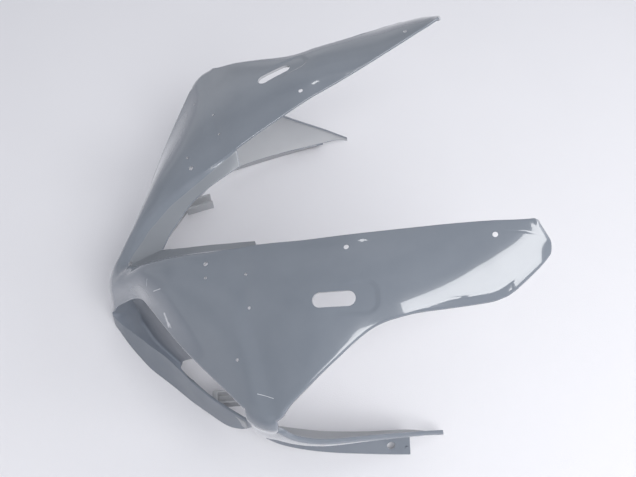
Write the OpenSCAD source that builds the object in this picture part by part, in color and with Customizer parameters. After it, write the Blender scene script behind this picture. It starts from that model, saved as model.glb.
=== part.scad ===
// Front upper fairing of a sports motorcycle, moulded as one thin shell.
// X runs to the rear, Y to the right-hand side, Z up. The shell rests on its chin and two side flanges.

/* [Overall size] */

// Length from the chin to the tail tips
shell_length = 495; // [450:1:540]
// Width over the widest point of both sides
shell_width = 537; // [490:1:580]
// Height from the resting plane to the tail tips
shell_height = 318; // [290:1:345]
// Wall thickness of the moulded sheet
wall_t = 3; // [2.6:0.1:3.6]

/* [Mirror slot] */

// Overall length of the slot for the mirror stay
slot_length = 45; // [36:1:54]
// Width of the slot
slot_width = 16; // [12:1:20]

/* [Fastener holes] */

// Diameter of the windscreen screw holes
screw_d = 5.5; // [4:0.5:7]
// Diameter of the small pin holes
pin_d = 3.5; // [2.5:0.5:4.5]
// Diameter of the hole in each side flange
flange_hole_d = 10; // [7:0.5:12]
// Side of the square clip hole at the nose
clip_side = 5; // [4:0.5:7]

/* [Lamp bracket] */

// Length of the bracket that holds the lamp
bracket_length = 50; // [40:1:56]
// Width of the bracket
bracket_width = 17; // [14:1:20]
// Height of the bracket
bracket_height = 15; // [12:1:18]
// Thickness of the bracket walls
bracket_t = 2.6; // [2.2:0.1:3]

/* [Hidden] */

// What the control points below measure before they are scaled
base_length = 495;
base_width = 537;
base_height = 318;
base_front = -52;

// Steps between neighbouring control stations, and across the shoulder and the wing
sub = 2;
shoulder_steps = 8;
wing_steps = 5;
wall_steps = 3;
strip_steps = 2;
flange_steps = 2;

// Control stations between which the shell has its ledge, its bridge and its wing
ledge_end = 13;
bridge_start = 10;
bridge_end = 12;
wing_end = 20;
tail_end = 22;
strip_end = 11;
wall_end = 7;

// Inner edge of the windscreen seat
seat = [
    [22, 0, 144], [24, 3, 148], [28, 6, 154], [32, 10, 162], [37, 14, 169], [43, 19, 177], [53, 25, 187],
    [65, 31, 195], [85, 40, 206], [102, 46, 213], [116, 51, 219], [126, 55, 223], [140, 61, 229], [153, 68, 235]
];
// Crest along the windscreen opening, from the nose to the tail
crest = [
    [0, 0, 140], [4, 10, 146], [8, 17, 151], [14, 23, 161], [20, 27, 168], [30, 32, 176], [42, 37, 185],
    [55, 42, 193], [78, 50, 204], [97, 56, 211], [112, 60, 217], [122, 63, 221], [137, 68, 227],
    [152, 72, 234], [173, 79, 242], [203, 89, 252], [246, 102, 267], [280, 111, 276], [312, 120, 285],
    [345, 130, 295], [377, 140, 304], [402, 149, 311], [424, 158, 318]
];
// Lower edge of the shoulder: over the lamp, round the notch and along to the tail
lower = [
    [-48, 0, 30], [-39, 6, 50], [-25, 15, 72], [-9, 28, 98], [5, 44, 118], [17, 70, 138], [40, 118, 154],
    [61, 157, 165], [82, 192, 176], [98, 218, 184], [112, 241, 190], [123, 255, 194], [137, 263, 197],
    [152, 252, 207], [173, 242, 219], [203, 227, 232], [247, 207, 248], [283, 205, 258], [320, 209, 262],
    [359, 213, 265], [382, 213, 268], [420, 197, 287], [443, 182, 295]
];
// How far the shoulder bulges between the two
bulge = [
    15, 14, 12, 10, 9, 8, 8, 9, 9, 10, 10, 10, 10, 10, 10, 10, 9, 8, 7, 6, 6, 4, 2
];
// Upper edge of the wing, from the lamp opening past the notch to the tip
wing_top = [
    [111, 237, 164], [122, 252, 165], [138, 260, 168], [149, 265, 152], [168, 268, 134], [196, 268, 113],
    [238, 263, 83], [274, 260, 60], [300, 258, 44], [324, 256, 28], [343, 255, 15]
];
// Bottom edge of the wing
wing_bottom = [
    [107, 194, 26], [122, 202, 30], [139, 208, 34], [153, 213, 34], [171, 219, 33], [195, 226, 31],
    [238, 235, 28], [271, 240, 26], [300, 244, 24], [324, 250, 19], [343, 254, 11]
];
wing_bulge = [-2, 9, 12, 9, 8, 7, 5, 3, 2, 1, 0];
// Stations and places across the shoulder where the mouth wall meets it from below
wall_top = [[0, 0.22], [1, 0.26], [2, 0.38], [3, 0.62], [4.6, 0.9], [5.5, 0.93], [6.4, 0.95], [7.3, 0.96]];
// Foot of the mouth wall
wall_foot = [
    [-9, 0, 16], [-9, 7, 18], [-8, 18, 23], [-4, 30, 28], [7, 58, 38], [19, 79, 46], [32, 98, 52], [42, 112, 55]
];
// Upper and bottom edges of the chin strip
strip_top = [
    [-49, 0, 27], [-44, 6, 14], [-34, 20, 20], [-21, 38, 27], [1, 69, 40], [16, 88, 48], [31, 110, 54],
    [48, 136, 56], [68, 162, 56], [88, 182, 55], [101, 194, 54], [114, 206, 54]
];
strip_bottom = [
    [-52, 0, 0], [-49, 8, 0], [-41, 24, 0], [-30, 45, 0], [-9, 79, 0], [8, 99, 0], [25, 119, 0], [41, 139, 1],
    [59, 159, 4], [79, 181, 8], [95, 192, 14], [113, 200, 26]
];
// Stations and places on the wing from which the side flange hangs, and its bottom edge
flange_top = [[11.3, 0.9], [12.7, 0.93], [14, 0.95], [15, 0.96], [16, 0.96], [17, 0.96], [18, 0.96]];
flange_bottom = [
    [127, 217, 28], [144, 225, 18], [171, 235, 12], [202, 244, 8], [236, 252, 5], [273, 260, 2], [298, 265, 0]
];
// Stations over which the slope of a surface is measured, closely or across the notch
step = 0.2;
reach = 1.5;
// Margin by which a tool reaches past the sheet that it cuts
over = 12;
// Where the slot, the screw holes and the pin holes lie on the shoulder: station, place across
slot_at = [15.42, 0.59];
slot_turn = 24;
screw_at = [[9, 0.09], [15.95, 0.15], [20.25, 0.2]];
pin_at = [[8.95, 0.2], [12.16, 0.18], [12.03, 0.38], [10.16, 0.7]];
// Place down the nose and lean of the square clip hole
clip_at = 0.07;
clip_lean = 43;
// Where the round hole and the rivet boss lie on the flange: place along, place down
flange_hole_at = [5.12, 0.6];
flange_boss_at = [5.87, 0.675];
flange_boss_d = 4;
flange_boss_h = 2;
// Front end of the lamp bracket and the way it points, then the pierced gusset beside it
bracket_at = [60, 153, 24];
bracket_turn = 8;
bracket_end = 8;
gusset_at = [88, 180, 27];
gusset_turn = 46;
gusset_size = [26, 3, 22];
gusset_hole_d = 6;
round_fn = 48;

kx = shell_length / base_length;
ky = shell_width / base_width;
kz = shell_height / base_height;
x_middle = (base_front + base_length / 2) * kx;

// Scales a control point to the size asked for
function sized(p) = [p[0] * kx - x_middle, p[1] * ky, p[2] * kz];
function mirrored(p) = [p[0], -p[1], p[2]];
function unit(v) = v / norm(v);
function between(a, b, f) = a + (b - a) * f;
// The control point before the first one, so that a rail runs smoothly across the middle or past its end
function before(r, across) = across ? mirrored(r[1]) : 2 * r[0] - r[1];
function past(r) = 2 * r[len(r) - 1] - r[len(r) - 2];
function knot(r, i, across) = i < 0 ? before(r, across) : i > len(r) - 1 ? past(r) : r[i];
function spline(a, b, c, d, f) =
    b + (c - a) * f / 2 + (2 * a - 5 * b + 4 * c - d) * f * f / 2 + (3 * b - a - 3 * c + d) * f * f * f / 2;
// A point on a rail at station u
function rail(r, u, across = true) =
    let (w = max(0, min(u, len(r) - 1)), i = min(floor(w), len(r) - 2))
    spline(knot(r, i - 1, across), knot(r, i, across), knot(r, i + 1, across), knot(r, i + 2, across), w - i);
function level(r, u) =
    let (w = max(0, min(u, len(r) - 1)), i = min(floor(w), len(r) - 2))
    r[i] + (r[i + 1] - r[i]) * (w - i);
function along(r, u, across = true) = rail(r, u + step / 2, across) - rail(r, u - step / 2, across);
function heading(a, b, u) =
    u < step ? [0, 1, 0] : unit(along(a, u)) + unit(rail(b, u + reach) - rail(b, max(0, u - reach)));
// Points on the shoulder and on the wing, with the direction in which each of them bulges
function shoulder_out(u) = unit(cross(heading(crest, lower, u), rail(lower, u) - rail(crest, u)));
function shoulder(u, v) =
    let (a = rail(crest, u), b = rail(lower, u))
    a + (b - a) * v + shoulder_out(u) * level(bulge, u) * 4 * v * (1 - v);
function wing(u, w) =
    let (s = max(0.1, min(u - bridge_start, wing_end - bridge_start)))
    let (a = rail(wing_top, s, false), b = rail(wing_bottom, s, false), way = along(wing_top, s, false))
    a + (b - a) * w + unit(cross(way, b - a)) * level(wing_bulge, s) * 4 * w * (1 - w);

// One row of the skin, from the seat across the shoulder and down the wing
function skin_row(u) = concat(
    [sized(rail(seat, u))],
    [for (j = [0:shoulder_steps]) sized(shoulder(u, j / shoulder_steps))],
    [for (j = [0:wing_steps]) sized(wing(u, j / wing_steps))]
);
// Which cells of that row belong to the part
function skin_cells(u) = concat(
    [u < ledge_end],
    [for (j = [1:shoulder_steps]) true],
    [u > bridge_start && u < bridge_end],
    [for (j = [1:wing_steps]) u > bridge_start && u < wing_end]
);
function wall_row(u) = let (w = rail([for (p = wall_top) [p[0], p[1], 0]], u, false)) shoulder(w[0], w[1]);
// One row of the mouth: wall, shelf and chin strip
function mouth_row(u) = concat(
    [for (k = [0:wall_steps]) sized(between(wall_row(u), rail(wall_foot, u), k / wall_steps))],
    [sized(between(rail(wall_foot, u), rail(strip_top, u), 0.5))],
    [for (k = [0:strip_steps]) sized(between(rail(strip_top, u), rail(strip_bottom, u), k / strip_steps))]
);
function mouth_cells(u) = concat(
    [for (k = [1:wall_steps + 2]) u < wall_end],
    [for (k = [1:strip_steps]) true]
);
function flange_point(s, t) =
    sized(between(wing(level(flange_top, s)[0], level(flange_top, s)[1]), rail(flange_bottom, s, false), t));

// Puts the rows of the left side before those of the right side
function both(rows) = concat(
    [for (i = [len(rows) - 1:-1:1]) [for (p = rows[i]) mirrored(p)]],
    rows
);
function both_cells(cells) = concat([for (i = [len(cells) - 1:-1:0]) cells[i]], cells);

// A closed sheet of even thickness under a grid of points, made only where its cells are wanted
module sheet(g, cells, t) {
    n = len(g);
    m = len(g[0]);
    function on(i, j) = i >= 0 && j >= 0 && i < n - 1 && j < m - 1 && cells[i][j];
    function cell_out(i, j) =
        on(i, j) ? unit(cross(g[i + 1][j + 1] - g[i][j], g[i][j + 1] - g[i + 1][j])) : [0, 0, 0];
    function out(i, j) =
        let (s = cell_out(i - 1, j - 1) + cell_out(i - 1, j) + cell_out(i, j - 1) + cell_out(i, j))
        norm(s) > 0.01 ? unit(s) : [0, 0, 1];
    function top(i, j) = i * m + j;
    function low(i, j) = n * m + i * m + j;
    pts = concat(
        [for (i = [0:n - 1]) for (j = [0:m - 1]) g[i][j]],
        [for (i = [0:n - 1]) for (j = [0:m - 1]) g[i][j] - out(i, j) * t]
    );
    function quad(a, b, c, d) = [[a, b, c], [a, c, d]];
    faces = [
        for (i = [0:n - 2])
            for (j = [0:m - 2])
                if (on(i, j))
                    each concat(
                        quad(top(i, j), top(i, j + 1), top(i + 1, j + 1), top(i + 1, j)),
                        [[low(i, j), low(i + 1, j + 1), low(i, j + 1)], [low(i, j), low(i + 1, j), low(i + 1, j + 1)]],
                        on(i, j - 1) ? [] : quad(top(i, j), top(i + 1, j), low(i + 1, j), low(i, j)),
                        on(i + 1, j) ? [] : quad(top(i + 1, j), top(i + 1, j + 1), low(i + 1, j + 1), low(i + 1, j)),
                        on(i, j + 1) ? [] : quad(top(i + 1, j + 1), top(i, j + 1), low(i, j + 1), low(i + 1, j + 1)),
                        on(i - 1, j) ? [] : quad(top(i, j + 1), top(i, j), low(i, j), low(i, j + 1))
                    )
    ];
    polyhedron(points = pts, faces = faces, convexity = 10);
}

module both_sides() {
    children();
    mirror([0, 1, 0])
        children();
}

// Puts what follows at a point, with Z along the outward normal and X to the rear
module placed(p, rearward, down) {
    z = unit(cross(rearward, down));
    x = unit(rearward - z * (rearward * z));
    y = cross(z, x);
    multmatrix([[x[0], y[0], z[0], p[0]], [x[1], y[1], z[1], p[1]], [x[2], y[2], z[2], p[2]], [0, 0, 0, 1]])
        children();
}

// Puts what follows at a place on the right shoulder or on the right flange
module on_shoulder(at) {
    u = at[0];
    v = at[1];
    placed(
        sized(shoulder(u, v)),
        sized(shoulder(u + step, v)) - sized(shoulder(u - step, v)),
        sized(shoulder(u, v + step / 4)) - sized(shoulder(u, v - step / 4))
    )
        children();
}

module on_flange(at) {
    s = at[0];
    t = at[1];
    placed(
        flange_point(s, t),
        flange_point(s + step, t) - flange_point(s - step, t),
        flange_point(s, t + step / 2) - flange_point(s, t - step / 2)
    )
        children();
}

module skin() {
    steps = [for (i = [0:tail_end * sub]) i / sub];
    mids = [for (i = [0:tail_end * sub - 1]) (i + 0.5) / sub];
    sheet(both([for (u = steps) skin_row(u)]), both_cells([for (u = mids) skin_cells(u)]), wall_t);
}

module mouth() {
    steps = [for (i = [0:strip_end * sub]) i / sub];
    mids = [for (i = [0:strip_end * sub - 1]) (i + 0.5) / sub];
    sheet(both([for (u = steps) mouth_row(u)]), both_cells([for (u = mids) mouth_cells(u)]), wall_t);
}

module flange() {
    last = len(flange_bottom) - 1;
    rows = [for (i = [0:last * sub]) [for (k = [0:flange_steps]) flange_point(i / sub, k / flange_steps)]];
    sheet(rows, [for (i = [1:last * sub]) [for (k = [1:flange_steps]) true]], wall_t);
}

module bore(d) {
    translate([0, 0, -over])
        cylinder(d = d, h = 2 * over, $fn = round_fn);
}

module flange_boss() {
    on_flange(flange_boss_at)
        translate([0, 0, -wall_t / 2])
            cylinder(d = flange_boss_d, h = wall_t / 2 + flange_boss_h, $fn = round_fn);
}

module clip_hole() {
    translate(sized(shoulder(0, clip_at)))
        rotate([0, -clip_lean, 0])
            cube([clip_side, clip_side, over], center = true);
}

module mirror_slot() {
    run = slot_length - slot_width;
    translate([-run / 2, 0, 0])
        bore(slot_width);
    translate([run / 2, 0, 0])
        bore(slot_width);
    cube([run, slot_width, 2 * over], center = true);
}

// Open channel that carries the lamp, with its front end let into the chin strip
module bracket() {
    translate(sized(bracket_at))
        rotate([0, 0, bracket_turn])
            difference() {
                translate([0, -bracket_width / 2, 0])
                    cube([bracket_length, bracket_width, bracket_height]);
                translate([bracket_end, -bracket_width / 2 + bracket_t, bracket_t])
                    cube([bracket_length, bracket_width - 2 * bracket_t, bracket_height]);
            }
}

module gusset() {
    translate(sized(gusset_at))
        rotate([0, 0, gusset_turn])
            difference() {
                translate([0, -gusset_size[1] / 2, 0])
                    cube(gusset_size);
                translate([gusset_size[0] / 2, 0, gusset_size[2] / 2])
                    rotate([90, 0, 0])
                        translate([0, 0, -over])
                            cylinder(d = gusset_hole_d, h = 2 * over, $fn = round_fn);
            }
}

module fairing() {
    color("slategray")
        difference() {
            union() {
                skin();
                mouth();
                both_sides() {
                    flange();
                    flange_boss();
                    bracket();
                    gusset();
                }
            }
            both_sides() {
                on_shoulder(slot_at)
                    rotate([0, 0, slot_turn])
                        mirror_slot();
                for (at = screw_at)
                    on_shoulder(at)
                        bore(screw_d);
                for (at = pin_at)
                    on_shoulder(at)
                        bore(pin_d);
                on_flange(flange_hole_at)
                    bore(flange_hole_d);
            }
            clip_hole();
            translate([-shell_length, -shell_width, -2 * over])
                cube([2 * shell_length, 2 * shell_width, 2 * over]);
        }
}

fairing();
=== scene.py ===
"""Looks of a moulded motorcycle fairing: its painted shell, its bare inside and the studio around it."""

import math

import bpy
import numpy as np
from mathutils import Matrix, Vector


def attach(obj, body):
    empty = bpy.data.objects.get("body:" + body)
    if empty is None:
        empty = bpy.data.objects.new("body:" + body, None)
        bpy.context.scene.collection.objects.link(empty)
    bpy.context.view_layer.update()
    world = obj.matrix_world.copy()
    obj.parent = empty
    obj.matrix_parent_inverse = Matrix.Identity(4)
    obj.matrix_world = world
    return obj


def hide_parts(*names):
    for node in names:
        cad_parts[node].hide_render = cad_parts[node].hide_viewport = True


bl_info = {
    "name": "Motorcycle fairing",
    "version": (1, 0, 0),
    "blender": (4, 5, 0),
    "location": "3D View > Sidebar > Fairing",
    "description": "Builds the dressed shell of a motorcycle fairing and the studio that shows it",
    "category": "Object",
}

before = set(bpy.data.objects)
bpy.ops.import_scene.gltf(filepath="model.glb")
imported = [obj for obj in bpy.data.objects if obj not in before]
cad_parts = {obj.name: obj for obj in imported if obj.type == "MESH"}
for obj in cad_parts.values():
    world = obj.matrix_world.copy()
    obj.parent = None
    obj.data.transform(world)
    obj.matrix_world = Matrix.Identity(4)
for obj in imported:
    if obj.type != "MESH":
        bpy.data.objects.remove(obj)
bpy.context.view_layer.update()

MM = 0.001
BODY = "root"
NODE = "fairing"

# The control points below are in millimetres, with X counted from the tip of the nose
NOSE_X = 195.5

# Stations along the shell at which its ledge, its bridge to the wing and its parts end
LEDGE_END = 13
BRIDGE = (10, 12)
WING_END = 20
TAIL_END = 22
STRIP_END = 11
WALL_END = 7
# Length of one station at the tail and at the end of the chin strip
STATION = 21
STRIP_STATION = 18

# Inner edge of the windscreen seat
SEAT = [
    (42, 0, 154), (44, 2, 156), (47.5, 5, 160), (52, 9, 165), (57, 13, 169.5), (63, 17, 174.5),
    (70.5, 22, 180.5), (79, 27.5, 187.6), (91, 34.3, 196), (103, 39.6, 202), (114, 44, 206.6),
    (124, 47.5, 210), (138, 52, 214.5), (153, 56.5, 218.5),
]
# Crest along the windscreen opening, from the nose to the tail
CREST = [
    (-6, 0, 133), (0, 9, 141), (6, 16, 149), (14, 23, 161), (20, 27, 168), (30, 32, 176), (42, 37, 185),
    (55, 42, 193), (78, 50, 204), (97, 56, 211), (112, 60, 217), (122, 63, 221), (137, 68, 227),
    (152, 72, 234), (173, 79, 242), (203, 89, 252), (246, 102, 267), (280, 111, 276), (312, 120, 285),
    (345, 130, 295), (377, 140, 304), (402, 149, 311), (424, 158, 318),
]
# Lower edge of the shoulder: over the lamp, round the notch and along to the tail
LOWER = [
    (-48, 0, 30), (-39, 6, 50), (-25, 15, 72), (-9, 28, 98), (5, 44, 118), (17, 70, 138), (40, 118, 154),
    (61, 157, 165), (82, 192, 176), (98, 218, 184), (112, 241, 190), (123, 255, 194), (137, 263, 197),
    (152, 252, 207), (173, 242, 219), (203, 227, 232), (247, 207, 248), (283, 205, 258), (320, 209, 262),
    (359, 213, 265), (382, 213, 268), (420, 197, 287), (443, 182, 295),
]
# How far the shoulder bulges between the two, and by station how far the bulge leans to the crest
BULGE = [15, 14, 12, 10, 9, 8, 8, 9, 9, 10, 10, 10, 10, 10, 10, 10, 9, 8, 7, 6, 6, 4, 2]
BULGE_LEAN = ((8, 11, 12.5, 14.5), (1, .8, .6, 0))
# Upper edge of the wing, from the lamp opening past the notch to the tip, and its bottom edge
WING_TOP = [
    (111, 237, 164), (122, 252, 165), (138, 260, 168), (149, 265, 152), (168, 268, 134), (196, 268, 113),
    (238, 263, 83), (274, 260, 60), (300, 258, 44), (324, 256, 28), (343, 255, 15),
]
WING_BOTTOM = [
    (107, 194, 26), (122, 202, 30), (139, 208, 34), (153, 213, 34), (171, 219, 33), (195, 226, 31),
    (238, 235, 28), (271, 240, 26), (300, 244, 24), (324, 250, 19), (343, 254, 11),
]
WING_BULGE = [-2, 9, 12, 9, 8, 7, 5, 3, 2, 1, 0]
# Stations and places across the shoulder where the mouth wall meets it from below, and its foot
WALL_TOP = [(0, .22), (1, .26), (2, .38), (3, .62), (4.6, .9), (5.5, .93), (6.4, .95), (7.3, .96)]
WALL_FOOT = [
    (-9, 0, 16), (-9, 7, 18), (-8, 18, 23), (-4, 30, 28), (7, 58, 38), (19, 79, 46), (32, 98, 52),
    (42, 112, 55),
]
# Upper and bottom edges of the chin strip
STRIP_TOP = [
    (-49, 0, 26.5), (-46.5, 6, 23.5), (-36, 20, 21.5), (-21, 38, 27), (1, 69, 40), (16, 88, 48),
    (31, 110, 54), (48, 136, 56), (68, 162, 56), (88, 182, 55), (101, 194, 54), (114, 206, 54),
]
STRIP_BOTTOM = [
    (-52, 0, 0), (-49, 8, 0), (-41, 24, 0), (-30, 45, 0), (-9, 79, 0), (8, 99, 0), (25, 119, 0), (41, 139, 1),
    (59, 159, 4), (79, 181, 8), (95, 192, 14), (113, 200, 26),
]
# Stations and places on the wing from which the side flange hangs, and its bottom edge
FLANGE_TOP = [(11.3, .9), (12.7, .93), (14, .95), (15, .96), (16, .96), (17, .96), (18, .96)]
FLANGE_BOTTOM = [
    (127, 217, 28), (144, 225, 18), (171, 235, 12), (202, 244, 8), (236, 252, 5), (273, 260, 2),
    (298, 265, 0),
]

# Cells across each part of the outer shell and of the mouth, and points of a flange
SEAT_CELLS, BAND_CELLS, SHOULDER_CELLS, BRIDGE_CELLS, WING_CELLS = 9, 2, 60, 8, 22
WALL_CELLS, SHELF_CELLS, STRIP_CELLS = 14, 10, 16
FLANGE_ROWS, FLANGE_COLUMNS = 90, 16

# Stations over which the slope of a surface is measured, closely or across the notch
STEP = .2
REACH = 1.5

# Places on the shoulder: station, place across
SLOT_AT = (15.42, .59)
SLOT_TURN = math.radians(24)
# Round holes of the shoulder: size, place, how far the back is flared
HOLES = (
    ("screw_hole", (9, .09), .8), ("screw_hole", (15.95, .15), 2.5), ("screw_hole", (20.25, .2), 2.5),
    ("pin_hole", (8.95, .2), .1), ("pin_hole", (12.16, .18), .1), ("pin_hole", (12.03, .38), 2.2),
    ("pin_hole", (10.16, .7), 2.5),
)
# Distance of the clip hole from the tip of the windscreen opening
CLIP_AT = 6
# Places on the flange: place along, place down
FLANGE_HOLE_AT = (5.12, .6)
RIVET_AT = (5.87, .675)

# Width of the painted band beside the crest, by station
BAND = ((0, 1, 2.5, 5, 8, 10, 13), (2, 5, 11, 12, 8, 5, 2))
# Stations over which the lower edge turns in, and for the tail's edge distances from the crest
SIDE_TURN = (.6, 2.4)
TAIL_TURN = (0, 9)
# Corners of the tail at the crest and at the lower edge
TAIL_CORNERS = (4, 11)
# How far the bridge to the wing swells
SWELL = 7
# Recess round the mirror slot: its flat middle, rim, depth, softness and the run in which it deepens
RECESS = {"along": 33, "across": 4, "rim": 12, "deep": 1.2, "soft": 1.7, "run": (-14, 22)}
# Width of the rolled border along the tail's lower edge, by station, and the station of its end
BORDER = ((15.5, 17, 18.3, 19.9), (1.5, 4, 10.5, 11.5))
BORDER_END = 20.35
# Place across the tail of its crease, by station
CREASE = ((20.45, 20.75, 21.25, 21.85), (.175, .2, .275, .438))
# How many stations further forward the mouth's wall ends below than above
WALL_SLANT = .85
# Height of the chin strip at its end, and the radii of its bottom and top corners there
STRIP_HIGH = 28
STRIP_CORNERS = (15, 5)

# Scratches on the left shoulder: from and to (station, place across), half-width, how broken
SCRATCHES = [
    ((11.3, .85), (11.78, .85), .4, .4),
    ((11.78, .85), (12.34, .888), .36, .5),
    ((5.18, .46), (5.24, .31), .7, .9),
    ((5.62, .475), (6.16, .375), .6, .35),
    ((5.96, .74), (6.04, .88), 4.0, .7),
    ((6.1, .82), (6.16, .87), 1.3, .7),
]

# Channel that carries the lamp: its place in millimetres, its turn and its sizes in metres
BRACKET_AT = (60, 153, 24)
BRACKET_TURN = math.radians(8)
BRACKET = {"start": .010, "hollow": .016, "end": .050, "half": .0085, "high": .015, "wall": .0026}
# Gusset behind it, with its eye, in the same way
GUSSET_AT = (88, 180, 27)
GUSSET_TURN = math.radians(46)
GUSSET = {"long": .026, "half": .0015, "high": .022, "eye": .006, "eye_at": (.013, .011)}
# Rounding of their edges, in metres
BEVEL = .0006
# Edges that turn by more than this stay sharp
SHARP_ANGLE = math.radians(38)
# How far the cutting tools reach, in metres: for holes, for the clip hole, for channel and eye
TOOL_REACH = .012
CLIP_REACH = .006
BRACKET_REACH = .01
# How far below the outer face a flare begins, in metres
STRAIGHT = .0008
# Least height over the floor, in metres
CLEAR = .00005

# Finishes: the user's colour and its tint, the dust's colour and amount, roughness, coat, waves, grain
DUST = (.3, .32, .36)
FINISHES = {
    "gloss_paint": ("paint", (1, 1, 1), (.34, .36, .40), .12, .2, 1.0, .0001, .000001),
    "thin_paint": ("paint", (1, 1, 1), DUST, .15, .38, .25, .00005, .000004),
    "seat_paint": ("paint", (1.36, 1.27, 1.17), DUST, .15, .38, .1, .00005, .000004),
    # The mouth's wall: the paint darkened, painted shade under the rim of the nose
    "wall_paint": ("paint", (.6, .6, .62), DUST, .15, .38, .1, .00005, .000004),
    # The mouth's shelf: the paint lightened, painted light where it faces up towards the lamps
    "shelf_paint": ("paint", (1.3, 1.28, 1.3), DUST, .15, .38, .25, .00005, .000004),
    "bare_plastic": ("bare", (1, 1, 1), (.42, .42, .44), .4, .5, 0, .00004, .00002),
}
SCRATCH_COLOUR = (.62, .63, .66, 1)

# Lamps: name, place, what they look at, size and power
LAMPS = (
    ("window", (.48, -1.35, 1.77), (.25, -.2, .27), (1.35, 1.3), 32.5),
    ("side", (1.7, -.3, 1.3), (.1, 0, .1), (1.0, 1.0), 7),
    ("glint", (-.98, 3.91, 4.6), (.1, -.12, .29), (.2, .25), 1.1),
)
FLOOR_HALF = 6
ROOM_COLOUR = (.93, .95, 1, 1)
ROOM_STRENGTH = (.45, .78)

# Camera found from the mirrored points of the two sides
CAMERA_AT = (-.0683, -.5080, .8716)
CAMERA_RIGHT = (.9768, -.2146, 0)
CAMERA_UP = (.1767, .8042, .5675)
SENSOR = 36
LENS = 39.62


# ---- Sizes and colours that a user would change


def length(name, description, default):
    """A length in metres that the panel shows."""
    return bpy.props.FloatProperty(
        name=name, description=description, default=default, min=0, unit="LENGTH", precision=4
    )


def colour(name, description, default):
    """A colour that the panel shows."""
    return bpy.props.FloatVectorProperty(
        name=name, description=description, default=default, size=3, min=0, max=1, subtype="COLOR"
    )


class ShellSettings(bpy.types.PropertyGroup):
    """Sizes of the moulded shell."""

    wall: length("Wall", "Thickness of the moulded sheet", .003)
    plain_radius: length("Edge radius", "Radius of a plain edge", .0009)
    lip_radius: length("Lip radius", "Radius where an edge is turned in", .0034)
    lip_depth: length("Lip depth", "How far a turned-in edge reaches from the outer face", .0058)
    slot_length: length("Slot length", "Overall length of the mirror slot", .045)
    slot_width: length("Slot width", "Width of the mirror slot", .016)
    screw_hole: length("Screw hole", "Diameter of the windscreen screw holes", .0055)
    pin_hole: length("Pin hole", "Diameter of the small pin holes", .0035)
    flange_hole: length("Flange hole", "Diameter of the hole in each side flange", .010)
    clip_hole: length("Clip hole", "Side of the square clip hole at the nose", .005)
    rivet_width: length("Rivet width", "Diameter of the rivet on each flange", .004)
    rivet_height: length("Rivet height", "How far the rivet stands off the flange", .002)


class FinishSettings(bpy.types.PropertyGroup):
    """Colours of the paint and the bare plastic."""

    paint: colour("Paint", "Colour of the gloss paint outside", (.150, .172, .205))
    bare: colour("Bare plastic", "Colour of the unpainted inside", (.36, .37, .39))
    floor: colour("Floor", "Colour of the floor", (.77, .765, .795))


# ---- Rails and surfaces of the shell, in millimetres


def rail(points, u, across=True):
    """Points on a smooth rail through its stations. Across the middle, it meets its mirror image."""
    r = np.asarray(points, float)
    first = r[1] * (1, -1, 1) if across else 2 * r[0] - r[1]
    knots = np.vstack([first, r, 2 * r[-1] - r[-2]])
    w = np.clip(np.asarray(u, float), 0, len(r) - 1)
    i = np.minimum(w.astype(int), len(r) - 2)
    f = (w - i)[..., None]
    a, b, c, d = knots[i], knots[i + 1], knots[i + 2], knots[i + 3]
    return b + (c - a) * f / 2 + (2 * a - 5 * b + 4 * c - d) * f**2 / 2 + (3 * b - a - 3 * c + d) * f**3 / 2


def level(values, u):
    """Values between the stations of a plain list, in each of its columns."""
    v = np.asarray(values, float)
    if v.ndim == 1:
        return np.interp(u, np.arange(len(v)), v)
    return np.stack([np.interp(u, np.arange(len(v)), v[:, k]) for k in range(v.shape[1])], -1)


def unit(v):
    """Vectors of length one."""
    return v / np.maximum(np.linalg.norm(v, axis=-1, keepdims=True), 1e-9)


def slope(points, u, across=True):
    """Direction of a rail at a station."""
    u, half = np.asarray(u), STEP / 2
    return rail(points, u + half, across) - rail(points, np.maximum(u - half, 0), across)


def shoulder(u, v):
    """Points of the shoulder at stations u and places across v."""
    a, b = rail(CREST, u), rail(LOWER, u)
    u = np.asarray(u, float)
    along = unit(slope(CREST, u)) + unit(rail(LOWER, u + REACH) - rail(LOWER, np.maximum(u - REACH, 0)))
    along = np.where((u < STEP)[..., None], (0, 1, 0), along)
    out = unit(np.cross(along, b - a))
    v = np.asarray(v)[..., None]
    lean = np.interp(u, *BULGE_LEAN)[..., None]
    crown = 1 / (1 + lean + np.sqrt(1 - lean + lean**2))
    rise = v * (1 - v) * (1 - lean * v) / (crown * (1 - crown) * (1 - lean * crown))
    return a + (b - a) * v + out * level(BULGE, u)[..., None] * rise


def wing(u, w):
    """Points of the wing at stations u and places down w."""
    s = np.clip(np.asarray(u, float) - BRIDGE[0], .1, WING_END - BRIDGE[0])
    a, b = rail(WING_TOP, s, False), rail(WING_BOTTOM, s, False)
    out = unit(np.cross(slope(WING_TOP, s, False), b - a))
    w = np.asarray(w)[..., None]
    return a + (b - a) * w + out * level(WING_BULGE, s)[..., None] * 4 * w * (1 - w)


def flange_point(s, t):
    """Points of the side flange, along and down."""
    at = level(FLANGE_TOP, s)
    a, b = wing(at[..., 0], at[..., 1]), rail(FLANGE_BOTTOM, s, False)
    return a + (b - a) * np.asarray(t)[..., None]


def sized(p):
    """Millimetres from the nose turned into the frame's metres."""
    return (np.asarray(p, float) - (NOSE_X, 0, 0)) * MM


def mirrored(p):
    """The same points on the other side."""
    return np.asarray(p) * (1, -1, 1)


def both_sides(right):
    """A grid over both sides from one whose first row lies in the middle."""
    return np.concatenate([mirrored(right[:0:-1]), right])


def both_cells(right):
    """The cells of such a grid."""
    return np.concatenate([right[::-1], right])


def smooth_step(low, high, x):
    """Rises from 0 to 1 between low and high."""
    t = np.clip((x - low) / (high - low), 0, 1)
    return t * t * (3 - 2 * t)


def corner(distance, radius):
    """How far an end is set back at that distance from a slight corner of that radius."""
    return .5 * np.clip(radius - distance, 0, radius) ** 2 / radius


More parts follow.
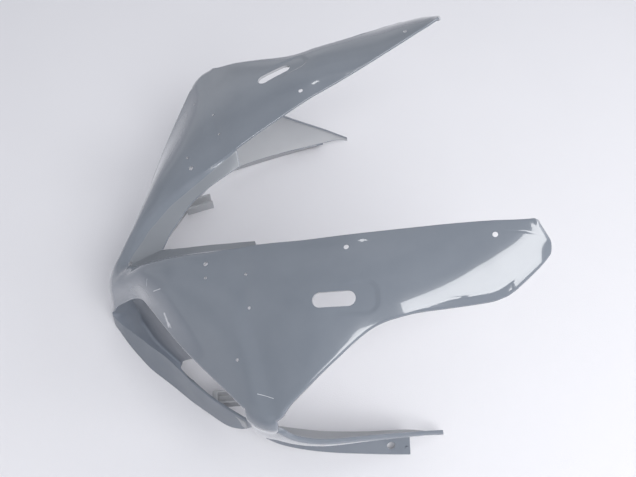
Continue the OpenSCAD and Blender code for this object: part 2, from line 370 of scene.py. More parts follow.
def arc(distance, radius):
    """How far an end is set back at that distance from a corner that is a quarter of a circle."""
    return radius - np.sqrt(radius**2 - np.clip(radius - distance, 0, radius) ** 2)


def evened(grid, sigma):
    """A grid smoothed along its rows, with its first and last rows kept."""
    reach = int(3 * sigma)
    weights = np.exp(-.5 * (np.arange(-reach, reach + 1) / sigma) ** 2)
    weights /= weights.sum()
    head = 2 * grid[:1] - grid[reach:0:-1]
    tail = 2 * grid[-1:] - grid[-2:-reach - 2:-1]
    padded = np.concatenate([head, grid, tail])
    return sum(w * padded[k:k + len(grid)] for k, w in enumerate(weights))


def grid_normals(grid):
    """Outward directions at the points of a grid."""
    along = np.gradient(grid, axis=0)
    down = np.gradient(grid, axis=1)
    return unit(np.cross(along, down))


# ---- Meshes


def closed_sheet(name, grid, cells, wall, radius, depth, finish=0):
    """A mesh of even thickness behind the wanted cells of a grid, with rounded or turned-in edges.

    radius and depth say, for all points or for each, how an edge that runs through it is turned in.
    finish is the material slot of the outer faces, for all columns of cells or for each.
    """
    n, m, _ = grid.shape
    number = np.arange(n * m).reshape(n, m)
    i, j = np.nonzero(cells)
    quads = np.stack([number[i, j], number[i + 1, j], number[i + 1, j + 1], number[i, j + 1]], 1)
    flat = grid.reshape(-1, 3)
    face_normal = np.cross(flat[quads[:, 2]] - flat[quads[:, 0]], flat[quads[:, 3]] - flat[quads[:, 1]])
    normal = np.zeros_like(flat)
    for k in range(4):
        np.add.at(normal, quads[:, k], face_normal)
    normal = unit(normal)

    edges = {}
    for q, fn in zip(quads.tolist(), unit(face_normal)):
        for k in range(4):
            edges[(q[k], q[(k + 1) % 4])] = fn
    border = [(e, fn) for e, fn in edges.items() if (e[1], e[0]) not in edges]
    outward = {}
    for (a, b), fn in border:
        side = np.cross(unit(flat[b] - flat[a]), fn)
        for v in (a, b):
            outward[v] = outward.get(v, 0) + side
    outward = {v: unit(side) for v, side in outward.items()}

    used = np.unique(quads)
    place = {int(v): i for i, v in enumerate(used)}
    count = len(used)
    faces = [[place[v] for v in q] for q in quads.tolist()]
    faces += [[place[v] + count for v in reversed(q)] for q in quads.tolist()]
    slots = np.broadcast_to(finish, cells.shape)[i, j].tolist() + [1] * len(quads)

    radius, depth = (np.broadcast_to(a, (n, m)).reshape(-1) for a in (radius, depth))
    lip_wall = wall * .8
    painted = 8  # steps of the rim's profile, from outside, that belong to the outer face
    rings, start, extra = {}, 2 * count, []
    for v in outward:
        r, d = radius[v], max(depth[v], wall * 1.02)
        e = min(r, wall - r, .0008) if r < wall / 2 else .0006
        back = max(r - lip_wall, r * .15)
        spare = d - wall
        profile = [(r * math.sin(a), r * (1 - math.cos(a))) for a in np.radians((22.5, 45, 67.5, 90))]
        profile += [
            (r, d - e), (r - e * .3, d - e * .3), (r - e, d),
            (back + (r - e - back) * .4, d), (back, d - min(e, spare / 2)), (back * .7, wall + spare * .1),
        ]
        rings[v] = [start + len(extra) + k for k in range(len(profile))]
        extra += [flat[v] + outward[v] * t - normal[v] * h for t, h in profile]
    points = np.concatenate([flat[used], flat[used] - normal[used] * wall, np.array(extra)])
    points[:, 2] = np.maximum(points[:, 2], CLEAR)
    for (a, b), _ in border:
        line_a = [place[a]] + rings[a] + [place[a] + count]
        line_b = [place[b]] + rings[b] + [place[b] + count]
        for k in range(len(line_a) - 1):
            faces.append([line_b[k], line_a[k], line_a[k + 1], line_b[k + 1]])
            slots.append(0 if k < painted else 1)

    mesh = bpy.data.meshes.new(name)
    mesh.from_pydata(points.tolist(), [], faces)
    mesh.update()
    mesh.polygons.foreach_set("material_index", slots)
    return mesh


def linked(name, data):
    """A new object in the scene."""
    obj = bpy.data.objects.new(name, data)
    bpy.context.scene.collection.objects.link(obj)
    return obj


def object_of(mesh, *finishes):
    """An object in the scene with that mesh and the finishes of those names."""
    for name in finishes:
        mesh.materials.append(finish_named(name))
    return linked(mesh.name, mesh)


def plain_mesh(obj, name):
    """Puts the result of an object's modifiers into its mesh."""
    bpy.context.view_layer.update()
    evaluated = obj.evaluated_get(bpy.context.evaluated_depsgraph_get())
    mesh = bpy.data.meshes.new_from_object(evaluated)
    obj.modifiers.clear()
    obj.data = mesh
    mesh.name = name


def cut(obj, tools, slot=0):
    """Cuts closed meshes out of an object. The cut faces get the material of that slot."""
    vertices, faces = [], []
    for points, polygons in tools:
        faces += [[i + len(vertices) for i in f] for f in polygons]
        vertices += [tuple(p) for p in points]
    mesh = bpy.data.meshes.new("cutter")
    mesh.from_pydata(vertices, [], faces)
    mesh.polygons.foreach_set("material_index", [slot] * len(faces))
    cutter = linked("cutter", mesh)
    boolean = obj.modifiers.new("holes", "BOOLEAN")
    boolean.operation = "DIFFERENCE"
    boolean.solver = "EXACT"
    boolean.object = cutter
    plain_mesh(obj, obj.data.name)
    bpy.data.objects.remove(cutter)


def stacked(rings):
    """A closed tool through rings of points, from its bottom to its top."""
    n, last = len(rings[0]), (len(rings) - 1) * len(rings[0])
    faces = [list(range(n - 1, -1, -1)), list(range(last, last + n))]
    for row in range(0, last, n):
        faces += [[row + k, row + (k + 1) % n, row + n + (k + 1) % n, row + n + k] for k in range(n)]
    return [p for ring in rings for p in ring], faces


def prism(outline, frame_at, low, high):
    """A closed prism over a counter-clockwise outline in a local frame."""
    origin, x, y, z = frame_at
    return stacked([[origin + x * a + y * b + z * h for a, b in outline] for h in (low, high)])


def block(frame_at, low, high):
    """A closed box in a local frame."""
    (a, b, bottom), (c, d, top) = low, high
    return prism([(a, b), (c, b), (c, d), (a, d)], frame_at, bottom, top)


def flared(outline, frame_at, wall, high, spread):
    """A closed tool for a hole whose edge is thinned from behind, so that light passes it at a slant."""
    origin, x, y, z = frame_at
    rings = []
    for h, wider in ((-wall - .001, spread), (-STRAIGHT, 0), (high, 0)):
        grow = [(a, b, 1 + wider / math.hypot(a, b)) for a, b in outline]
        rings.append([origin + x * a * g + y * b * g + z * h for a, b, g in grow])
    return stacked(rings)


def circle(d, count=40):
    """An outline of a circle."""
    return [(d / 2 * math.cos(a), d / 2 * math.sin(a)) for a in np.arange(count) * 2 * math.pi / count]


def stadium(long, wide, count=24):
    """An outline of a slot with round ends."""
    run, r = (long - wide) / 2, wide / 2
    right = [(run + r * math.cos(a), r * math.sin(a)) for a in np.linspace(-math.pi / 2, math.pi / 2, count)]
    return right + [(-a, -b) for a, b in right]


def frame_on(surface, a, b, da, db):
    """Origin, rearward, sideways and outward directions at a place on a surface."""
    def at(i, j):
        return sized(surface(np.array(i), np.array(j)))

    du, dv = at(a + da, b) - at(a - da, b), at(a, b + db) - at(a, b - db)
    z = unit(np.cross(du, dv))
    x = unit(du - z * np.dot(du, z))
    return at(a, b), x, np.cross(z, x), z


def on_shoulder(at):
    """The frame of a place on the shoulder."""
    return frame_on(shoulder, at[0], at[1], .2, .05)


def on_slot():
    """The frame of the mirror slot, with its first direction along the slot."""
    origin, x, y, z = on_shoulder(SLOT_AT)
    c, s = math.cos(SLOT_TURN), math.sin(SLOT_TURN)
    return origin, x * c + y * s, y * c - x * s, z


def on_seat():
    """The frame of the clip hole, behind the tip of the windscreen opening."""
    tip, across = sized(CREST[0]), np.array((0.0, 1.0, 0.0))
    back = unit(sized(SEAT[0]) - tip)
    return tip + back * CLIP_AT * MM, back, across, np.cross(back, across)


def on_flange(at):
    """The frame of a place on the right flange."""
    return frame_on(flange_point, at[0], at[1], .2, .1)


def pair_of(tools):
    """Closed meshes of the right side and their mirror images, still facing outwards."""
    return tools + [([mirrored(p) for p in points], [f[::-1] for f in faces]) for points, faces in tools]


# ---- Materials


def fill(tree, node, inputs):
    """Sets inputs of a node, each to a socket or to a constant."""
    for name, value in inputs.items():
        if isinstance(value, bpy.types.NodeSocket):
            tree.links.new(value, node.inputs[name])
        else:
            node.inputs[name].default_value = value


def add(tree, kind, inputs, output=0, **options):
    """Adds a node with those options and inputs. Returns an output of it."""
    node = tree.nodes.new(kind)
    for name, value in options.items():
        setattr(node, name, value)
    fill(tree, node, inputs)
    return node.outputs[output]


def maths(tree, operation, a, b, clamp=False):
    """The output of a Math node between sockets or numbers."""
    return add(tree, "ShaderNodeMath", {0: a, 1: b}, operation=operation, use_clamp=clamp)


def vectors(tree, operation, inputs, output=0):
    """An output of a Vector Math node."""
    return add(tree, "ShaderNodeVectorMath", inputs, output, operation=operation)


def noise(tree, at, scale, detail, rough=.5):
    """The output of a Noise Texture."""
    inputs = {"Vector": at, "Scale": scale, "Detail": detail, "Roughness": rough}
    return add(tree, "ShaderNodeTexNoise", inputs, "Fac")


def ranged(tree, value, low, high, to=(0.0, 1.0)):
    """The output of a Map Range node that turns low to high into the range to."""
    inputs = {"Value": value, "From Min": low, "From Max": high, "To Min": to[0], "To Max": to[1]}
    return add(tree, "ShaderNodeMapRange", inputs)


def mixed(tree, factor, a, b):
    """The output of a Mix node between two colours."""
    return add(tree, "ShaderNodeMix", {"Factor": factor, "A": a, "B": b}, "Result", data_type="RGBA")


def bumped(tree, height, strength, distance, **below):
    """The output of a Bump node, laid over the Normal of another where that is given."""
    inputs = {"Height": height, "Strength": strength, "Distance": distance, **below}
    return add(tree, "ShaderNodeBump", inputs)


def node_group(name, inputs, outputs, tree_kind="ShaderNodeTree"):
    """A node group with named sockets. Returns it, its inputs and the node that takes its outputs."""
    group = bpy.data.node_groups.new(name, tree_kind)
    for label, kind, *default in inputs:
        socket = group.interface.new_socket(label, in_out="INPUT", socket_type=kind)
        if default:
            socket.default_value = default[0]
    for label, kind in outputs:
        group.interface.new_socket(label, in_out="OUTPUT", socket_type=kind)
    return group, group.nodes.new("NodeGroupInput").outputs, group.nodes.new("NodeGroupOutput")


def scratch_group():
    """A scratch from one point to another: its mask fades at its edges and breaks up along its length."""
    tree, inn, out = node_group("Scratch", [
        ("Start", "NodeSocketVector", (0, 0, 0)),
        ("End", "NodeSocketVector", (0, 0, 0)),
        ("Width", "NodeSocketFloat", .0006),
        ("Breaks", "NodeSocketFloat", .5),
    ], [("Mask", "NodeSocketFloat")])
    at = add(tree, "ShaderNodeTexCoord", {}, "Object")
    run = vectors(tree, "SUBTRACT", {0: inn["End"], 1: inn["Start"]})
    away = vectors(tree, "SUBTRACT", {0: at, 1: inn["Start"]})
    dot = vectors(tree, "DOT_PRODUCT", {0: away, 1: run}, "Value")
    square = vectors(tree, "DOT_PRODUCT", {0: run, 1: run}, "Value")
    place = maths(tree, "DIVIDE", dot, square, clamp=True)
    nearest = vectors(tree, "SCALE", {0: run, "Scale": place})
    gap = vectors(tree, "SUBTRACT", {0: away, 1: nearest})
    far = maths(tree, "DIVIDE", vectors(tree, "LENGTH", {0: gap}, "Value"), inn["Width"])
    jag = maths(tree, "MULTIPLY", noise(tree, at, 260.0, 3.0), inn["Breaks"])
    fill(tree, out, {"Mask": ranged(tree, maths(tree, "ADD", far, jag), 1.0, .55)})
    return tree


def dust_group():
    """Fine dust and handling haze that lightens a surface in soft patches."""
    tree, inn, out = node_group("Dust haze", [
        ("Color", "NodeSocketColor", (.2, .2, .2, 1)),
        ("Dust", "NodeSocketColor", (.5, .5, .5, 1)),
        ("Amount", "NodeSocketFloat", .1),
        ("Scale", "NodeSocketFloat", 9.0),
    ], [("Color", "NodeSocketColor"), ("Mask", "NodeSocketFloat")])
    at = add(tree, "ShaderNodeTexCoord", {}, "Object")
    patches = ranged(tree, noise(tree, at, inn["Scale"], 4.0, .62), .3, .75)
    mask = maths(tree, "MULTIPLY", patches, inn["Amount"], clamp=True)
    fill(tree, out, {"Color": mixed(tree, mask, inn["Color"], inn["Dust"]), "Mask": mask})
    return tree


def new_material(name):
    """A new material with its node tree and its shader."""
    material = bpy.data.materials.new(name)
    material.use_nodes = True
    return material, material.node_tree, material.node_tree.nodes["Principled BSDF"]


def shell_material(name, base, dust, amount, roughness, coat, waves, grain, scratches=()):
    """Moulded plastic, painted or bare, with haze, waviness, grain and scratches."""
    material, tree, shader = new_material(name)
    at = add(tree, "ShaderNodeTexCoord", {}, "Object")
    haze = bpy.data.node_groups.get("Dust haze") or dust_group()
    inputs = {"Color": (*base, 1), "Dust": (*dust, 1), "Amount": amount, "Scale": 11.0}
    color = add(tree, "ShaderNodeGroup", inputs, "Color", node_tree=haze)
    worn = ranged(tree, noise(tree, at, 24.0, 3.0), .3, .7, (roughness * .85, roughness * 1.15))

    marks = None
    for start, end, width, breaks in scratches:
        scratch = bpy.data.node_groups.get("Scratch") or scratch_group()
        inputs = {"Start": start, "End": end, "Width": width, "Breaks": breaks}
        mask = add(tree, "ShaderNodeGroup", inputs, "Mask", node_tree=scratch)
        marks = mask if marks is None else maths(tree, "MAXIMUM", marks, mask)
    if marks is not None:
        color = mixed(tree, marks, color, SCRATCH_COLOUR)
        worn = maths(tree, "ADD", worn, maths(tree, "MULTIPLY", marks, .4))

    wavy = bumped(tree, noise(tree, at, 14.0, 1.0), 1.0, waves)
    grainy = bumped(tree, noise(tree, at, 700.0, 2.0), 1.0, grain, Normal=wavy)
    fill(tree, shader, {
        "Base Color": color, "Roughness": worn, "Normal": grainy, "IOR": 1.5,
        "Coat Weight": coat, "Coat Roughness": .02, "Coat IOR": 1.55,
    })
    return material


def scratch_marks():
    """Scratches on the left side: start, end, half-width and how broken they are."""
    marks = []
    for start, end, width, breaks in SCRATCHES:
        ends = [tuple(mirrored(sized(shoulder(*np.array(place))))) for place in (start, end)]
        marks.append((*ends, width * MM, breaks))
    return marks


def finish_named(name):
    """The material of that name, made when it is first asked for."""
    found = bpy.data.materials.get(name)
    if found:
        return found
    source, tint, *values = FINISHES[name]
    base = [c * t for c, t in zip(getattr(bpy.context.scene.fairing_finish, source), tint)]
    return shell_material(name, base, *values, scratch_marks() if name == "gloss_paint" else ())


# ---- Pieces


def finish_piece(obj):
    """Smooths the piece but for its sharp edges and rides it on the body."""
    obj.data.polygons.foreach_set("use_smooth", [True] * len(obj.data.polygons))
    obj.data.set_sharp_from_angle(angle=SHARP_ANGLE)
    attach(obj, BODY)


def stations(end, fine=(), coarse=9, dense=18):
    """Stations from 0 to end, closer together where the shape is fine."""
    parts = [np.linspace(i, i + 1, (dense if i in fine else coarse) + 1)[:-1] for i in range(end)]
    return np.append(np.concatenate(parts), float(end))


def lip(settings, turn):
    """Radius in millimetres of an edge that is turned in so far, from 0 to 1."""
    plain, turned = settings.plain_radius / MM, settings.lip_radius / MM
    return plain + (turned - plain) * turn


def shoulder_grid(settings, u, width):
    """Points and outward directions of the right shoulder, with room left for its rounded edges."""
    v = np.linspace(0, 1, SHOULDER_CELLS + 1)
    above = np.where(u < LEDGE_END, 0, settings.plain_radius / MM) / width
    below = lip(settings, smooth_step(*SIDE_TURN, u)) / width
    spread = above[:, None] + (1 - above - below)[:, None] * v
    from_crest = v * width[-1]
    set_back = lip(settings, smooth_step(*TAIL_TURN, from_crest))
    for distance, corner_radius in zip((from_crest, width[-1] - from_crest), TAIL_CORNERS):
        set_back = set_back + corner(distance, corner_radius)
    last = np.clip(u - TAIL_END + 1, 0, 1)[:, None] * set_back / STATION
    full = evened(both_sides(shoulder(u[:, None] - last, spread)), 2.0)
    top, normal = full[len(u) - 1:], grid_normals(full)[len(u) - 1:]
    return top + normal * relief(top, u, spread, width)[..., None], normal


def seat_columns(u, crest, normal):
    """Columns of the windscreen seat and of the painted band between it and the crest."""
    edge = rail(SEAT, u)
    band = np.interp(u, *BAND)[:, None]
    step = (.4 + 1.2 * smooth_step(.5, 3, u))[:, None]
    foot = crest + unit(edge - crest) * band - normal * step
    seat = [edge + (foot - edge) * k / SEAT_CELLS for k in range(SEAT_CELLS + 1)]
    return seat + [foot + (crest - foot) * k / BAND_CELLS for k in range(1, BAND_CELLS)]


def wing_grid(settings, u):
    """Points of the right wing. Stations before its first or behind its last repeat its ends."""
    wing_u = np.clip(u, BRIDGE[0], WING_END)
    s = wing_u - BRIDGE[0]
    drop = np.linalg.norm(rail(WING_TOP, s, False) - rail(WING_BOTTOM, s, False), axis=-1)
    room = np.minimum(settings.plain_radius / MM / drop, .2)
    w = room[:, None] + (1 - 2 * room)[:, None] * np.linspace(0, 1, WING_CELLS + 1)
    tip = np.where(u > WING_END - 1, WING_END - 1 + (wing_u - WING_END + 1) * .96, wing_u)
    side = wing(np.broadcast_to(tip[:, None], w.shape), w)
    rows = np.flatnonzero((u >= BRIDGE[0]) & (u <= WING_END))
    side[rows] = evened(side[rows], 2.5)
    return side


def bridge_columns(above, below, near):
    """Columns between the shoulder and the wing, swollen where near is 1."""
    out = unit(np.cross(np.gradient(above, axis=0), below - above))
    columns = []
    for k in range(1, BRIDGE_CELLS):
        f = k / BRIDGE_CELLS
        columns.append(above + (below - above) * f + out * (SWELL * near * 4 * f * (1 - f))[:, None])
    return columns


def shell_grid(settings):
    """The outer surface of the right side as a grid, its wanted cells, and how each edge is turned in."""
    u = stations(TAIL_END, fine=(14, 15, 16, 20, 21))
    width = np.linalg.norm(rail(LOWER, u) - rail(CREST, u), axis=-1)
    top, normal = shoulder_grid(settings, u, width)
    side = wing_grid(settings, u)
    near = smooth_step(9.6, 10.4, u) * smooth_step(12.6, 11.8, u)
    bridge = bridge_columns(top[:, -1], side[:, 0], near)
    outer = np.stack([*top.transpose(1, 0, 2), *bridge, *side.transpose(1, 0, 2)])
    outer += (evened(outer, 2.2) - outer) * near[:, None]
    seat = np.stack(seat_columns(u, top[:, 0], normal[:, 0]))
    grid = sized(np.concatenate([seat, outer]).transpose(1, 0, 2))

    mid = (u[1:] + u[:-1]) / 2
    behind = mid > BRIDGE[0]
    cells = np.stack(
        [mid < LEDGE_END] * (SEAT_CELLS + BAND_CELLS) + [mid >= 0] * SHOULDER_CELLS
        + [behind & (mid < BRIDGE[1])] * BRIDGE_CELLS + [behind & (mid < WING_END)] * WING_CELLS, 1
    )

    radius = np.full(grid.shape[:2], settings.plain_radius)
    depth = np.full(grid.shape[:2], settings.wall)
    crest_column = SEAT_CELLS + BAND_CELLS
    lower_column = crest_column + SHOULDER_CELLS
    wing_column = lower_column + BRIDGE_CELLS
    gap = (u >= BRIDGE[1]) & (u < WING_END)
    radius[gap, lower_column:wing_column + 1] = settings.lip_radius
    depth[gap, lower_column:wing_column + 1] = settings.lip_depth
    turn = smooth_step(*SIDE_TURN, u)
    radius[:, lower_column] = lip(settings, turn) * MM
    depth[:, lower_column] = np.where(u < BRIDGE[0], settings.wall + .0015 * turn, settings.lip_depth)
    turn = smooth_step(*TAIL_TURN, np.linspace(0, 1, SHOULDER_CELLS + 1) * width[-1])
    radius[-1, crest_column:lower_column + 1] = lip(settings, turn) * MM
    depth[-1, crest_column:lower_column + 1] = settings.wall + (settings.lip_depth - settings.wall) * turn
    return grid, cells, radius, depth


def relief(top, u, v, width):
    """How far each point of the shoulder stands off its plain surface: recess, rolled border and crease."""
    u = u[:, None]
    origin, x, y, _ = on_slot()
    away = sized(top) - origin
    a, b = away @ x / MM, np.abs(away @ y) / MM
    r = RECESS
    outside = np.hypot(np.maximum(a - r["along"], 0), np.maximum(b - r["across"], 0)) - r["rim"]
    height = -r["deep"] * smooth_step(r["soft"], -r["soft"], outside) * smooth_step(*r["run"], a)

    border = np.interp(u, *BORDER)
    inside = np.minimum(border - (1 - v) * width[:, None], (BORDER_END - u) * STATION)
    fade = smooth_step(15.8, 17.6, u)
    height = height - .24 * np.maximum(inside, 0) * fade
    height = height + .45 * np.exp(-(inside / 1.1) ** 2) * smooth_step(17.6, 18.6, u)

    below = (v - np.interp(u, *CREASE)) * width[:, None]
    fade = smooth_step(BORDER_END, 20.7, u) * smooth_step(21.95, 21.8, u)
    height = height - .3 * np.exp(-(below / .8) ** 2) * fade
    return height - .08 * np.maximum(-below, 0) * smooth_step(20.4, 21.4, u)


class FAIRING_OT_outer_shell(bpy.types.Operator):
    """Builds the painted outer shell with its windscreen seat, turned-in lips, slots and holes"""

    bl_idname = "fairing.outer_shell"
    bl_label = "Outer shell"

    def execute(self, context):
        settings = context.scene.fairing_shell
        grid, cells, radius, depth = shell_grid(settings)
        finish = np.where(np.arange(cells.shape[1]) < SEAT_CELLS, 2, 0)
        mesh = closed_sheet(
            "outer_shell", both_sides(grid), both_cells(cells), settings.wall,
            np.concatenate([radius[:0:-1], radius]), np.concatenate([depth[:0:-1], depth]), finish,
        )
        obj = object_of(mesh, "gloss_paint", "bare_plastic", "seat_paint")
        slot = stadium(settings.slot_length, settings.slot_width)
        holes = [prism(slot, on_slot(), -TOOL_REACH, TOOL_REACH)]
        for size, at, flare in HOLES:
            outline = circle(getattr(settings, size))
            holes.append(flared(outline, on_shoulder(at), settings.wall, TOOL_REACH, flare * MM))
        half = settings.clip_hole / 2
        clip = block(on_seat(), (-half, -half, -CLIP_REACH), (half, half, CLIP_REACH))
        cut(obj, pair_of(holes) + [clip], slot=1)
        finish_piece(obj)
        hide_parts(NODE)
        return {"FINISHED"}


def behind_shoulder(u, v, depth):
    """Points that lie that deep behind the shoulder."""
    ahead, back = np.maximum(u - STEP, 0), u + STEP
    along = shoulder(back, v) - shoulder(ahead, v)
    down = shoulder(u, v + .05) - shoulder(u, v - .05)
    return shoulder(u, v) - unit(np.cross(along, down)) * depth


def bowl_rows(settings, u):
    """Rows of the mouth's wall and shelf, from the shoulder down to its foot and out to the strip."""
    last_row = WALL_CELLS + SHELF_CELLS
    slant = WALL_SLANT * np.clip((u - WALL_END + 2) / 2, 0, 1)
    rows = []
    for k in range(last_row + 1):
        at = u - slant * (k / last_row) * (k < last_row)
        reach = rail([(a, b, 0) for a, b in WALL_TOP], at, False)
        head = behind_shoulder(reach[:, 0], reach[:, 1], settings.wall / MM)
        foot = rail(WALL_FOOT, at)
        if k < WALL_CELLS:
            rows.append(head + (foot - head) * k / WALL_CELLS)
        else:
            rows.append(foot + (rail(STRIP_TOP, at) - foot) * (k - WALL_CELLS) / SHELF_CELLS)
    return evened(np.stack(rows), 1.6)


def strip_grid(u):
    """Points of the chin strip below its upper edge, set back at its rounded end."""
    down = np.sin(np.linspace(0, math.pi / 2, STRIP_CELLS + 1))[1:]
    last = np.clip((u - STRIP_END + 2) / 2, 0, 1)[:, None]
    low, high = STRIP_CORNERS
    set_back = arc(STRIP_HIGH * (1 - down), low) + corner(STRIP_HIGH * down, high)
    end = u[:, None] - last * set_back / STRIP_STATION
    top = rail(STRIP_TOP, end)
    return top + (rail(STRIP_BOTTOM, end) - top) * down[:, None]


class FAIRING_OT_lamp_mouth(bpy.types.Operator):
    """Builds the mouth under the nose: its wall, its shelf and the chin strip"""

    bl_idname = "fairing.lamp_mouth"
    bl_label = "Lamp mouth"

    def execute(self, context):
        settings = context.scene.fairing_shell
        u = stations(STRIP_END, coarse=10)
        rows = np.concatenate([bowl_rows(settings, u).transpose(1, 0, 2), strip_grid(u)], 1)
        full = both_sides(sized(evened(both_sides(rows), 2.5)[len(u) - 1:]))
        mid = (u[1:] + u[:-1]) / 2
        bowl_cells = WALL_CELLS + SHELF_CELLS
        cells = np.stack([mid < WALL_END] * bowl_cells + [mid >= 0] * STRIP_CELLS, 1)
        across = np.arange(cells.shape[1])
        # Slot 2 is the wall, darkened with painted shade; slot 3 is the shelf, lightened with painted light
        finish = np.select([across < WALL_CELLS, across < bowl_cells], [2, 3], 0)
        mesh = closed_sheet(
            "lamp_mouth", full, both_cells(cells), settings.wall, settings.plain_radius, settings.wall, finish
        )
        finish_piece(object_of(mesh, "thin_paint", "bare_plastic", "wall_paint", "shelf_paint"))
        return {"FINISHED"}


class FAIRING_OT_side_flanges(bpy.types.Operator):
    """Builds the flange under each wing, with its hole"""

    bl_idname = "fairing.side_flanges"
    bl_label = "Side flanges"

    def execute(self, context):
        settings = context.scene.fairing_shell
        s = np.linspace(0, len(FLANGE_BOTTOM) - 1, FLANGE_ROWS)
        t = np.linspace(0, 1, FLANGE_COLUMNS)
        grid = sized(flange_point(*np.broadcast_arrays(s[:, None], t)))
        grid[:, :, 2] = np.maximum(grid[:, :, 2], settings.plain_radius)
        cells = np.ones((FLANGE_ROWS - 1, FLANGE_COLUMNS - 1), bool)
        hole = circle(settings.flange_hole, 48)
        holes = pair_of([prism(hole, on_flange(FLANGE_HOLE_AT), -TOOL_REACH, TOOL_REACH)])
        for side, points, tool in zip(("right", "left"), (grid, mirrored(grid[::-1])), holes):
            mesh = closed_sheet(
                "flange_" + side, points, cells, settings.wall, settings.plain_radius, settings.wall
            )
            obj = object_of(mesh, "gloss_paint", "bare_plastic")
            cut(obj, [tool], slot=1)
            finish_piece(obj)
        return {"FINISHED"}


def point_tree(name, sizes, shape, material):
    """A Geometry Nodes tree that puts one shape on each point of a mesh, facing its outward direction."""
    mesh = ("Geometry", "NodeSocketGeometry")
    floats = [(label, "NodeSocketFloat", default) for label, default in sizes.items()]
    tree, inn, out = node_group(name, [mesh, *floats], [mesh], "GeometryNodeTree")
    kind = {"data_type": "FLOAT_VECTOR"}
    outward = add(tree, "GeometryNodeInputNamedAttribute", {"Name": "outward"}, "Attribute", **kind)
    turn = add(tree, "FunctionNodeAlignRotationToVector", {"Vector": outward}, "Rotation", axis="Z")
    inputs = {"Points": inn["Geometry"], "Instance": shape(tree, inn), "Rotation": turn}
    real = add(tree, "GeometryNodeRealizeInstances", {0: add(tree, "GeometryNodeInstanceOnPoints", inputs)})
    fill(tree, out, {0: add(tree, "GeometryNodeSetMaterial", {"Geometry": real, "Material": material})})
    return tree


def rivet_shape(tree, inn):
    """A round stud let into the flange, a little narrower at its head."""
    radius = maths(tree, "DIVIDE", inn["Diameter"], 2.0)
    stud = add(tree, "GeometryNodeMeshCone", {
        "Vertices": 32, "Radius Bottom": radius, "Radius Top": maths(tree, "MULTIPLY", radius, .85),
        "Depth": maths(tree, "MULTIPLY", inn["Height"], 1.6),
    }, "Mesh")
    offset = add(tree, "ShaderNodeCombineXYZ", {"Z": maths(tree, "MULTIPLY", inn["Height"], -.6)})
    return add(tree, "GeometryNodeTransform", {"Geometry": stud, "Translation": offset})


def on_points(name, places, tree, sizes):
    """A mesh of points with outward directions, dressed by a Geometry Nodes tree and made plain."""
    mesh = bpy.data.meshes.new(name)
    mesh.from_pydata([tuple(p) for p, _ in places], [], [])
    direction = mesh.attributes.new("outward", "FLOAT_VECTOR", "POINT")
    direction.data.foreach_set("vector", [c for _, z in places for c in z])
    obj = object_of(mesh)
    modifier = obj.modifiers.new(name, "NODES")
    modifier.node_group = tree
    identifiers = {s.name: s.identifier for s in tree.interface.items_tree if s.in_out == "INPUT"}
    for label, value in sizes.items():
        modifier[identifiers[label]] = value
    plain_mesh(obj, name)
    return obj


class FAIRING_OT_rivets(bpy.types.Operator):
    """Builds the rivet at the rear end of each side flange"""

    bl_idname = "fairing.rivets"
    bl_label = "Flange rivets"

    def execute(self, context):
        settings = context.scene.fairing_shell
        origin, _, _, z = on_flange(RIVET_AT)
        sizes = {"Diameter": settings.rivet_width, "Height": settings.rivet_height}
        tree = point_tree("rivet", sizes, rivet_shape, finish_named("gloss_paint"))
        places = [(origin, z), (mirrored(origin), mirrored(z))]
        finish_piece(on_points("flange_rivets", places, tree, sizes))
        return {"FINISHED"}


def turned_frame(at, angle):
    """A frame at a point of the right side, turned about the vertical."""
    c, s = math.cos(angle), math.sin(angle)
    return sized(at), np.array((c, s, 0)), np.array((-s, c, 0)), np.array((0.0, 0.0, 1.0))


class FAIRING_OT_lamp_brackets(bpy.types.Operator):
    """Builds the open channel that carries the lamp on each side, and the pierced gusset behind it"""

    bl_idname = "fairing.lamp_brackets"
    bl_label = "Lamp brackets"

    def execute(self, context):
        at, b = turned_frame(BRACKET_AT, BRACKET_TURN), BRACKET
        inner = b["half"] - b["wall"]
        channel = block(at, (b["start"], -b["half"], 0), (b["end"], b["half"], b["high"]))
        past = (b["end"] + BRACKET_REACH, inner, b["high"] + BRACKET_REACH)
        hollow = block(at, (b["hollow"], -inner, b["wall"]), past)
        at, g = turned_frame(GUSSET_AT, GUSSET_TURN), GUSSET
        plate = block(at, (0, -g["half"], 0), (g["long"], g["half"], g["high"]))
        origin, x, y, z = at
        eye = (origin + x * g["eye_at"][0] + z * g["eye_at"][1], x, z, -y)
        hole = prism(circle(g["eye"]), eye, -BRACKET_REACH, BRACKET_REACH)
        for name, solid, tool in (("lamp_bracket", channel, hollow), ("gusset", plate, hole)):
            for side, (points, faces), cutter in zip(("right", "left"), pair_of([solid]), pair_of([tool])):
                mesh = bpy.data.meshes.new(f"{name}_{side}")
                mesh.from_pydata([tuple(p) for p in points], [], faces)
                obj = object_of(mesh, "bare_plastic")
                cut(obj, [cutter])
                bevel = obj.modifiers.new("bevel", "BEVEL")
                bevel.width = BEVEL
                bevel.segments = 2
                bevel.limit_method = "ANGLE"
                plain_mesh(obj, mesh.name)
                finish_piece(obj)
        return {"FINISHED"}


# ---- Stage


def area_light(name, at, to, size, power):
    """A rectangular lamp that looks at a point."""
    data = bpy.data.lights.new(name, "AREA")
    data.shape = "RECTANGLE"
    data.size, data.size_y = size
    data.energy = power
    obj = linked(name, data)
    obj.location = at
    obj.rotation_euler = (Vector(to) - Vector(at)).to_track_quat("-Z", "Y").to_euler()


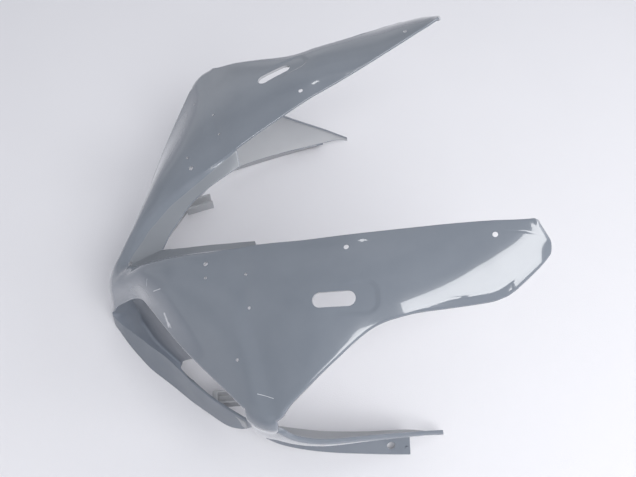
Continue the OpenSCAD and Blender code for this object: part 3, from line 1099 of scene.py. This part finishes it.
def floor_object(colour):
    """A wide floor of fine cloth."""
    mesh, h = bpy.data.meshes.new("floor"), FLOOR_HALF
    mesh.from_pydata([(-h, -h, 0), (h, -h, 0), (h, h, 0), (-h, h, 0)], [], [(0, 1, 2, 3)])
    material, tree, shader = new_material("floor")
    at = add(tree, "ShaderNodeTexCoord", {}, "Object")
    darker = tuple(c * .97 for c in colour)
    fill(tree, shader, {
        "Base Color": mixed(tree, noise(tree, at, 5.0, 2.0), (*darker, 1), (*colour, 1)),
        "Normal": bumped(tree, noise(tree, at, 700.0, 3.0), .35, .0006),
        "Roughness": .9, "Specular IOR Level": .1,
    })
    mesh.materials.append(material)
    return object_of(mesh)


def studio_world():
    """A room whose brightness varies softly from wall to wall."""
    world = bpy.data.worlds.new("studio")
    world.use_nodes = True
    tree = world.node_tree
    room = noise(tree, add(tree, "ShaderNodeTexCoord", {}, "Generated"), 2.4, 3.0)
    strength = ranged(tree, room, .35, .65, ROOM_STRENGTH)
    fill(tree, tree.nodes["Background"], {"Color": ROOM_COLOUR, "Strength": strength})
    return world


def photo_camera():
    """The camera that took the photo."""
    data = bpy.data.cameras.new("camera")
    data.sensor_width = SENSOR
    data.lens = LENS
    camera = linked("camera", data)
    right, up = Vector(CAMERA_RIGHT), Vector(CAMERA_UP)
    turn = Matrix((right, up, right.cross(up))).transposed().to_4x4()
    camera.matrix_world = Matrix.Translation(CAMERA_AT) @ turn
    return camera


class FAIRING_OT_stage(bpy.types.Operator):
    """Builds the floor, the lamps and the camera"""

    bl_idname = "fairing.stage"
    bl_label = "Stage"

    def execute(self, context):
        scene = context.scene
        floor_object(scene.fairing_finish.floor)
        scene.world = studio_world()
        for lamp in LAMPS:
            area_light(*lamp)
        scene.camera = photo_camera()
        scene.view_settings.view_transform = "Standard"
        return {"FINISHED"}


class FAIRING_PT_panel(bpy.types.Panel):
    """Sidebar panel with the sizes, the finishes and the steps"""

    bl_label = "Motorcycle fairing"
    bl_space_type = "VIEW_3D"
    bl_region_type = "UI"
    bl_category = "Fairing"

    def draw(self, context):
        layout = self.layout
        for settings in (context.scene.fairing_shell, context.scene.fairing_finish):
            box = layout.box()
            for name in settings.__annotations__:
                box.prop(settings, name)
        for operator in OPERATORS:
            layout.operator(operator.bl_idname)


OPERATORS = (
    FAIRING_OT_stage,
    FAIRING_OT_outer_shell,
    FAIRING_OT_lamp_mouth,
    FAIRING_OT_side_flanges,
    FAIRING_OT_rivets,
    FAIRING_OT_lamp_brackets,
)
CLASSES = (ShellSettings, FinishSettings, *OPERATORS, FAIRING_PT_panel)


def register():
    """Adds the settings, the steps and the panel to Blender."""
    for cls in CLASSES:
        bpy.utils.register_class(cls)
    bpy.types.Scene.fairing_shell = bpy.props.PointerProperty(type=ShellSettings)
    bpy.types.Scene.fairing_finish = bpy.props.PointerProperty(type=FinishSettings)


def unregister():
    """Takes them out again."""
    del bpy.types.Scene.fairing_finish
    del bpy.types.Scene.fairing_shell
    for cls in reversed(CLASSES):
        bpy.utils.unregister_class(cls)


def main():
    """Builds the stage and every piece."""
    register()
    bpy.ops.fairing.stage()
    bpy.ops.fairing.outer_shell()
    bpy.ops.fairing.lamp_mouth()
    bpy.ops.fairing.side_flanges()
    bpy.ops.fairing.rivets()
    bpy.ops.fairing.lamp_brackets()


if __name__ == "__main__":
    main()
